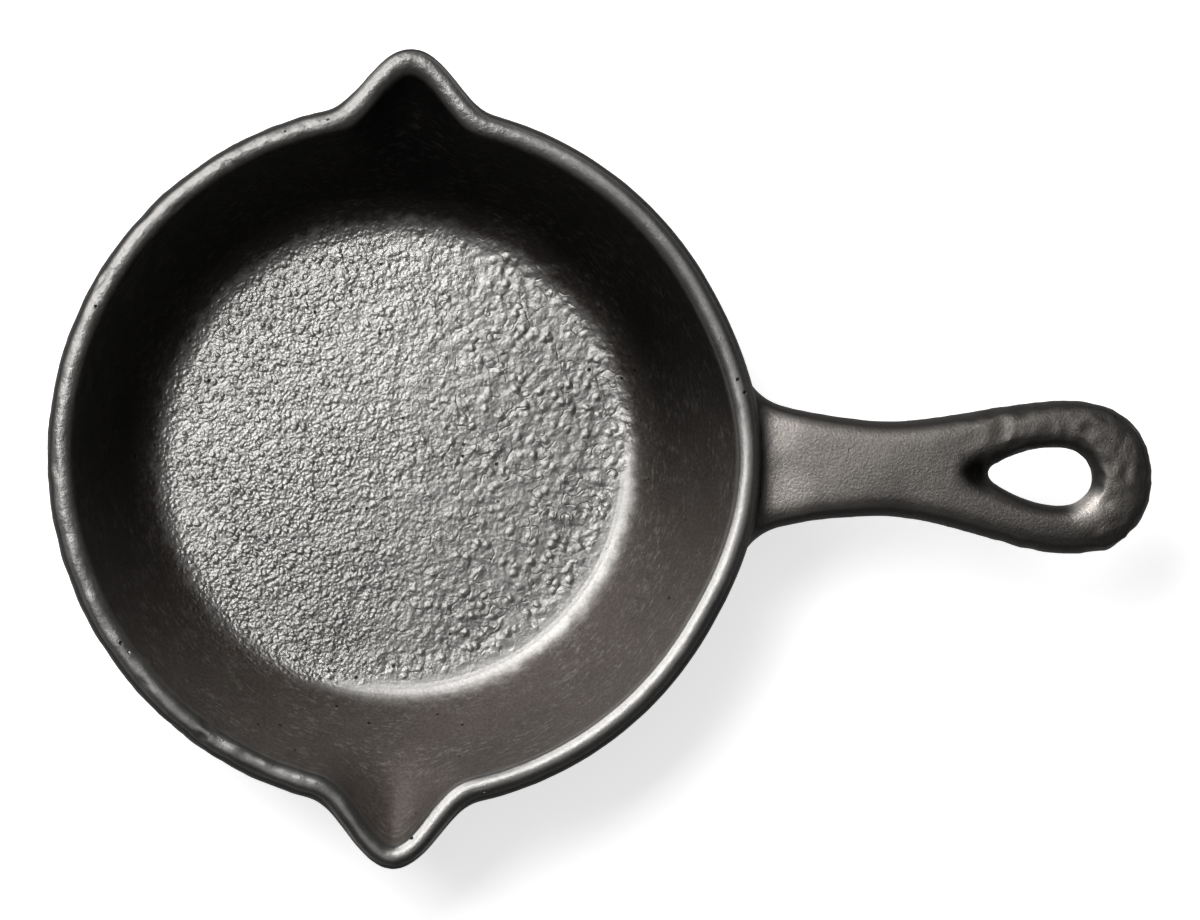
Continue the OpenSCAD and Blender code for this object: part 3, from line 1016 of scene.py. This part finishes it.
class Wear:
    """Masks, from 0 to 1, that say where on the pan each kind of wear lies, and where shade and highlights
    are painted.
    """

    def __init__(self, tree, s, form):
        self.tree = tree
        coordinates = tree.nodes.new("ShaderNodeTexCoord").outputs
        self.place = coordinates["Object"]
        self.x, self.y, self.z = split(tree, self.place)
        x, y, z = self.x, self.y, self.z
        self.radius = radius = maths(tree, "SQRT", plus(tree, times(tree, x, x), times(tree, y, y)))
        nx, ny, nz = split(tree, coordinates["Normal"])
        wander = minus(tree, cloud(tree, self.place, 360.0, 3.0), 0.5)
        self.wander = wander = times(tree, wander, 5 * MM)
        self.edge = plus(tree, radius, wander)
        clear_r = larger(tree, radius, MM)

        # Above the floor's underside, so inside the bowl or high on its outside
        self.above = ramp(tree, z, s.floor_t - 1.5 * MM, s.floor_t - 0.8 * MM)
        self.floor = times(tree, self.above, ramp(
            tree, self.edge, s.floor_r + 5.6 * MM, s.floor_r + 1.6 * MM))
        off_spouts = ramp(tree, maths(tree, "ABSOLUTE", y), s.rim_r * 0.75, s.rim_r * 0.65)
        self.handle = times(tree, ramp(tree, radius, s.rim_r - 0.4 * MM, s.rim_r + 1.2 * MM), off_spouts)
        # Which way a place lies: 1 where the pan is rubbed most, -1 opposite
        turned = plus(tree, times(tree, x, math.cos(RUBBED_A)), times(tree, y, math.sin(RUBBED_A)))
        self.turned = turned = maths(tree, "DIVIDE", turned, clear_r)
        # Painted shade: on the -X +Y side the rim's inner lip, which turns away from the lamps, is left as
        # dark as the wall
        lip_with_shade = maths(tree, "MULTIPLY_ADD", turned, 1.0 * MM, radius)
        self.rim = times(tree, ramp(tree, z, s.bowl_h - 2.4 * MM, s.bowl_h - 0.7 * MM),
                         rest_of(tree, self.handle),
                         ramp(tree, lip_with_shade, s.rim_r - 5.9 * MM, s.rim_r - 3.9 * MM))
        self.worn = larger(tree, self.floor, self.rim, self.handle)
        self.wall = rest_of(tree, self.worn)

        # The cove is rubbed smooth on one side, and painted paler there as a painted highlight, on the side
        # that faces the key lamp
        self.rubbed = ramp(tree, turned, 0.2, 0.8)
        self.polish_and_highlight = times(tree, ramp(tree, radius, s.floor_r - 5 * MM, s.floor_r),
                            ramp(tree, radius, s.floor_r + 4.4 * MM, s.floor_r + 1.6 * MM),
                            self.above, self.rubbed)

        # The rim's outer side, the handle's flanks and all undersides are never wiped, and they are also
        # painted darker as painted shade, since they turn away from the lamps
        outward = plus(tree, times(tree, x, nx), times(tree, y, ny))
        outward = times(tree, ramp(tree, maths(tree, "DIVIDE", outward, clear_r), 0.40, 0.75),
                        rest_of(tree, self.handle))
        # Painted highlight: a pale patch near the hole's round end, where the loop's inner slope catches
        # the lamps; it is kept free of grime and painted shade
        self.painted_glint = blob(tree, self.place, (form.hole_end_x - 0.6 * MM, -6.6 * MM, s.bowl_h), 5.4 * MM)
        flank = times(tree, self.handle, ramp(tree, nz, 0.965, 0.72), rest_of(tree, self.painted_glint))
        self.grimy_and_shaded = larger(tree, outward, flank, ramp(tree, nz, 0.0, -0.25))

        # Painted shade: the wall at -X +Y, which faces away from the lamps, is painted near black, less so
        # in the cove, where the grain still shows
        shade_side = minus(tree, times(tree, y, 0.9), times(tree, x, 0.2))
        shade_side = times(tree, shade_side, 1 / s.rim_r)
        self.painted_shade = times(tree, ramp(tree, shade_side, -0.72, 0.25), self.wall, self.above,
                          ramp(tree, radius, s.floor_r + 2.5 * MM, s.floor_r + 10 * MM, 0.5, 1.0))
        self.mottle = cloud(tree, self.place, 55.0, 6.0, 0.65)

    def specks(self):
        """A few bright specks of bare metal on the walls."""
        tree = self.tree
        distance, pick = cells(tree, self.place, 420.0, 1)
        return times(tree, ramp(tree, distance, 0.10, 0.05), ramp(tree, pick, 0.80, 0.84),
                     self.wall, rest_of(tree, self.painted_shade))

    def scuffs(self):
        """Scuffs on the walls, few under the painted shade and none on the unwiped sides, which are also
        painted as shade.
        """
        tree = self.tree
        mask = use_group(tree, scuff_group(), Vector=self.place, Radius=self.radius)["Mask"]
        return times(tree, mask, self.wall, minus(tree, 0.55, times(tree, self.painted_shade, 0.45)),
                     blend_value(tree, self.grimy_and_shaded, self.above, 0.0))


class SKILLET_OT_iron(bpy.types.Operator):
    """Give the pan its seasoned iron: worn floor and rim, black walls with painted shade, painted
    highlights, sand skin and scuffs
    """

    bl_idname = "skillet.iron"
    bl_label = "Season Iron"

    def execute(self, context):
        s = context.scene.skillet_sizes
        c = context.scene.skillet_colours
        material = bpy.data.materials.new("seasoned_iron")
        material.use_nodes = True
        tree = material.node_tree
        shader = tree.nodes["Principled BSDF"].inputs
        form = HandleForm(s, Section(s))
        wear = Wear(tree, s, form)
        skin = use_group(tree, sand_group(), Vector=wear.place, Grain=blend_value(
            tree, wear.handle, blend_value(tree, larger(tree, wear.floor, wear.rim), 1.6, 0.6), 1.7))
        feed(tree, shader["Base Color"], self.dusted(
            tree, wear, skin["Pits"], self.colours(tree, s, c, form, wear)))
        feed(tree, shader["Roughness"], self.roughness(tree, wear))
        feed(tree, shader["Metallic"], self.metal(tree, wear))
        bump = add_node(tree, "ShaderNodeBump", Height=self.relief(tree, s, wear, skin["Height"]),
                        Strength=1.0, Distance=1.0)
        feed(tree, shader["Normal"], bump.outputs[0])
        shader["Specular IOR Level"].default_value = 0.3
        pan = bpy.data.objects[PAN]
        pan.data.materials.clear()
        pan.data.materials.append(material)
        return {"FINISHED"}

    def colours(self, tree, s, c, form, wear):
        """Each finish's colour, and the painted shade and highlights, laid over the one before it."""
        # Painted sheen: the floor is painted paler towards -X +Y, the side of the lamps
        painted_sheen = ramp(tree, minus(tree, wear.y, wear.x), -40 * MM, 50 * MM, 0.88, 1.30)
        now = blend(tree, wear.floor, (*c.seasoning, 1.0), scaled(tree, tuple(c.bare_iron), painted_sheen))
        now = blend(tree, wear.polish_and_highlight, now, POLISHED_HIGHLIGHT)
        now = blend(tree, wear.rim, now, (*[part * RIM_TONE for part in c.bare_iron], 1.0))
        now = blend(tree, wear.handle, now, self.handle_colour(tree, s, c, form, wear))
        now = blend(tree, wear.painted_shade, now, PAINTED_SHADE_COLOUR)
        now = blend(tree, wear.grimy_and_shaded, now, GRIME_AND_SHADE)
        now = blend(tree, wear.specks(), now, SPECK)
        return blend(tree, wear.scuffs(), now, SCUFF)

    def handle_colour(self, tree, s, c, form, wear):
        """Handled iron with painted light: paler at the root and darker towards the end as painted shade,
        two painted highlights at the root, a painted highlight near the hole's round end, and painted shade
        in the hole's groove.
        """
        top_z = s.bowl_h - s.handle_drop
        # Painted shade: paler at the root and darker towards the hole, where the bars round off
        painted_light = ramp(tree, wear.x, s.rim_r + 2 * MM, form.hole_tip_x + 4 * MM, 1.22, 0.78)
        # Painted highlights: two pale patches on the dished root, where it mirrors the lamps
        for past_rim, y, size in ((5.0, 6.3, 6.0), (7.0, -5.4, 7.0)):
            painted_highlight = blob(tree, wear.place, (s.rim_r + past_rim * MM, y * MM, top_z), size * MM)
            painted_light = plus(tree, painted_light, times(tree, painted_highlight, 0.65))
        # Painted shade: near black in the groove at the hole's pointed end
        groove_shade = blob(tree, wear.place, (form.hole_tip_x - 2.5 * MM, -0.6 * MM, s.bowl_h - MM), 5.5 * MM)
        painted_light = times(tree, painted_light, rest_of(tree, times(tree, groove_shade, 0.92)))
        painted_light = plus(tree, painted_light, times(tree, wear.painted_glint, 2.4))
        return scaled(tree, tuple(c.handle_iron), painted_light)

    def dusted(self, tree, wear, pits, now):
        """The colour with broad mottling, fine dust and dark pinholes."""
        now = scaled(tree, now, ramp(tree, wear.mottle, 0.25, 0.75, 0.84, 1.14))
        dust = ramp(tree, cloud(tree, wear.place, 1700.0), 0.3, 0.7, -1.0, 1.0)
        dust = maths(tree, "MULTIPLY_ADD", dust, blend_value(tree, wear.worn, 0.18, 0.08), 1.0)
        return scaled(tree, now, times(tree, dust, rest_of(tree, times(tree, pits, PIT_SHADE))))

    def relief(self, tree, s, wear, skin):
        """Height of the surface in metres: the sand skin, the floor's grain and the rim's broken skin."""
        # The grain is fine and crisp at -X and broad at +X, with a ragged change between them
        fine = plus(tree, ramp(tree, wear.x, 24 * MM, -26 * MM), times(tree, wear.wander, 90.0))
        fine = maths(tree, "MINIMUM", 1.0, larger(tree, 0.0, fine))
        grain = use_group(tree, grain_group(), Vector=wear.place, Fine=fine)["Height"]
        reach = blend_value(tree, wear.rubbed, s.floor_r + 7.6 * MM, s.floor_r - 0.6 * MM)
        past = minus(tree, wear.edge, reach)
        grain = times(tree, grain, ramp(tree, past, 1.6 * MM, -1.6 * MM), wear.above)
        # The rim's skin is broken on the -X side
        broken = ramp(tree, minus(tree, wear.y, wear.x), -20 * MM, 70 * MM)
        chips = times(tree, cloud(tree, wear.place, 640.0, 3.0, 0.6), wear.rim, broken, CHIP_DEPTH)
        return plus(tree, skin, grain, chips)

    def roughness(self, tree, wear):
        rough = blend_value(tree, wear.floor, 0.50, 0.43)
        rough = blend_value(tree, wear.polish_and_highlight, rough, 0.40)
        rough = blend_value(tree, wear.rim, rough, ramp(tree, wear.turned, -0.6, 0.5, 0.40, 0.31))
        rough = blend_value(tree, wear.handle, rough, 0.47)
        rough = blend_value(tree, wear.grimy_and_shaded, rough, 0.62)
        return plus(tree, rough, ramp(tree, wear.mottle, 0.3, 0.7, -0.04, 0.05))

    def metal(self, tree, wear):
        metal = blend_value(tree, wear.wall, 0.9, 0.45)
        metal = blend_value(tree, wear.painted_shade, metal, 0.8)
        return blend_value(tree, wear.grimy_and_shaded, metal, 0.3)


# ---- stage ----

AIM = Vector((0.0, 0.0, 0.02))   # what the lamps point at
# Each softbox: its name, place, width and height, and radiance
LAMPS = (
    ("key_softbox", (-0.136, 0.150, 0.477), (0.42, 0.15), 7.4),
    ("side_softbox", (-0.58, 0.59, 0.55), (0.80, 0.62), 4.6),
    ("top_softbox", (-0.10, 0.10, 1.20), (0.90, 0.90), 0.5),
)
AIR_COLOUR = (0.9, 0.9, 0.9, 1.0)
AIR_LIGHT = 0.03           # light that comes from all round
PAPER_SIZE = 8.0
PAPER_GAP = 0.05 * MM      # the paper lies this far below the pan, so that no two faces share a place
PAPER_GLOW = 0.7           # how much the paper shines where the camera looks at it
PAPER_MIRRORED = 0.2       # how much it shines where the iron mirrors it
EYE = Vector((-60, -50, 1500)) * MM       # the camera's place
EYE_AIM = Vector((37.1, 0.09, 31)) * MM   # what it looks at
EYE_ROLL = math.radians(1.3)
LENS = 235.2


class SKILLET_OT_stage(bpy.types.Operator):
    """Lay the pale floor, hang the soft lamps and set up the overhead camera"""

    bl_idname = "skillet.stage"
    bl_label = "Set Stage"

    def execute(self, context):
        scene = context.scene
        self.paper(scene.skillet_colours)
        for name, place, size, radiance in LAMPS:
            self.lamp(name, Vector(place), size, radiance)
        world = bpy.data.worlds.new("studio_air")
        world.use_nodes = True
        air = world.node_tree.nodes["Background"].inputs
        air["Color"].default_value = AIR_COLOUR
        air["Strength"].default_value = AIR_LIGHT
        scene.world = world
        self.camera(scene)
        scene.view_settings.view_transform = "Standard"
        return {"FINISHED"}

    def paper(self, c):
        bpy.ops.object.select_all(action="DESELECT")
        bpy.ops.mesh.primitive_plane_add(size=PAPER_SIZE, location=(0, 0, -PAPER_GAP))
        floor = named("studio_floor")
        material = bpy.data.materials.new("pale_paper")
        material.use_nodes = True
        tree = material.node_tree
        shader = tree.nodes["Principled BSDF"].inputs
        place = tree.nodes.new("ShaderNodeTexCoord").outputs["Object"]
        paler = (*[part * 1.01 for part in c.studio], 1.0)
        feed(tree, shader["Base Color"], blend(tree, cloud(tree, place, 900.0), (*c.studio, 1.0), paler))
        shader["Roughness"].default_value = 0.9
        shader["Specular IOR Level"].default_value = 0.0
        rays = tree.nodes.new("ShaderNodeLightPath").outputs
        seen = times(tree, larger(tree, rays["Is Camera Ray"], rays["Is Transmission Ray"]), PAPER_GLOW)
        mirrored = times(tree, rays["Is Glossy Ray"], PAPER_MIRRORED)
        shader["Emission Color"].default_value = (1.0, 1.0, 1.0, 1.0)
        feed(tree, shader["Emission Strength"], larger(tree, seen, mirrored))
        floor.data.materials.append(material)

    def lamp(self, name, place, size, radiance):
        """A softbox whose face has this width, height and radiance."""
        bpy.ops.object.light_add(type="AREA", location=place)
        lamp = bpy.context.object
        lamp.name = name
        lamp.data.shape = "RECTANGLE"
        lamp.data.size, lamp.data.size_y = size
        lamp.data.energy = math.pi * size[0] * size[1] * radiance
        lamp.rotation_euler = (AIM - place).to_track_quat("-Z", "Y").to_euler()
        lamp.visible_camera = False

    def camera(self, scene):
        bpy.ops.object.camera_add(location=EYE)
        camera = bpy.context.object
        camera.name = "overhead_camera"
        camera.data.lens = LENS
        camera.data.sensor_width = 36.0
        camera.data.clip_start = 0.05
        camera.data.clip_end = 20.0
        camera.data.dof.use_dof = False
        view = (EYE_AIM - EYE).normalized()
        up = Vector((-math.sin(EYE_ROLL), math.cos(EYE_ROLL), 0.0))
        side = view.cross(up).normalized()
        turn = Matrix((side, side.cross(view), -view)).transposed()
        camera.rotation_euler = turn.to_euler()
        scene.camera = camera


class SKILLET_PT_panel(bpy.types.Panel):
    """Lists the skillet's steps in the 3D view's sidebar"""

    bl_idname = "SKILLET_PT_panel"
    bl_label = "Skillet"
    bl_space_type = "VIEW_3D"
    bl_region_type = "UI"
    bl_category = "Skillet"

    def draw(self, context):
        layout = self.layout
        for step in STEPS:
            layout.operator(step.bl_idname)
        for group in (context.scene.skillet_sizes, context.scene.skillet_colours):
            box = layout.box()
            for key in group.bl_rna.properties.keys():
                if key not in ("rna_type", "name"):
                    box.prop(group, key)


STEPS = (SKILLET_OT_bowl, SKILLET_OT_handle, SKILLET_OT_join, SKILLET_OT_iron, SKILLET_OT_stage)
CLASSES = (SkilletSizes, SkilletColours, *STEPS, SKILLET_PT_panel)


def register():
    for item in CLASSES:
        bpy.utils.register_class(item)
    bpy.types.Scene.skillet_sizes = bpy.props.PointerProperty(type=SkilletSizes)
    bpy.types.Scene.skillet_colours = bpy.props.PointerProperty(type=SkilletColours)


def unregister():
    del bpy.types.Scene.skillet_colours
    del bpy.types.Scene.skillet_sizes
    for item in reversed(CLASSES):
        bpy.utils.unregister_class(item)


def main():
    register()
    bpy.ops.skillet.bowl()
    bpy.ops.skillet.handle()
    bpy.ops.skillet.join()
    bpy.ops.skillet.iron()
    bpy.ops.skillet.stage()


if __name__ == "__main__":
    main()
